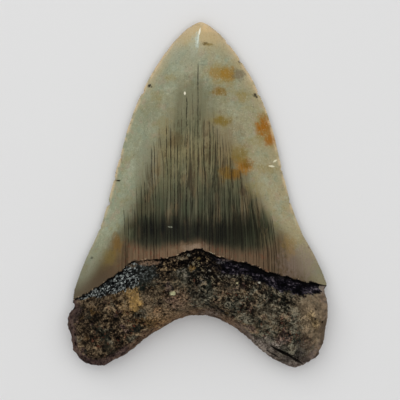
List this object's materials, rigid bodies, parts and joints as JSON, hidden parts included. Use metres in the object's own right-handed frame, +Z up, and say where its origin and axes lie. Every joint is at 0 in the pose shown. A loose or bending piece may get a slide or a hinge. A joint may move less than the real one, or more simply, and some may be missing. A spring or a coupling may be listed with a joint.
{
  "type": "megalodon tooth",
  "caption": "Fossil megalodon tooth: a broad pointed crown with fine serrated edges, a dark bourlette and a rough two-lobed root, lying on its flatter side.",
  "frame": {"origin": "middle of the tooth's footprint, on the surface that it lies on", "axes": "+Z up out of the domed lingual face, +Y from the root to the tip, +X across the root, to the right as seen from above with the tip away from the viewer"},
  "size_m": [0.093, 0.123, 0.0241],
  "materials": {
    "fossil": "polished grey-green to tan enamel on the crown, rough mottled brown root"
  },
  "bodies": {
    "root": {"tooth": "fossil"}
  },
  "joints": []
}
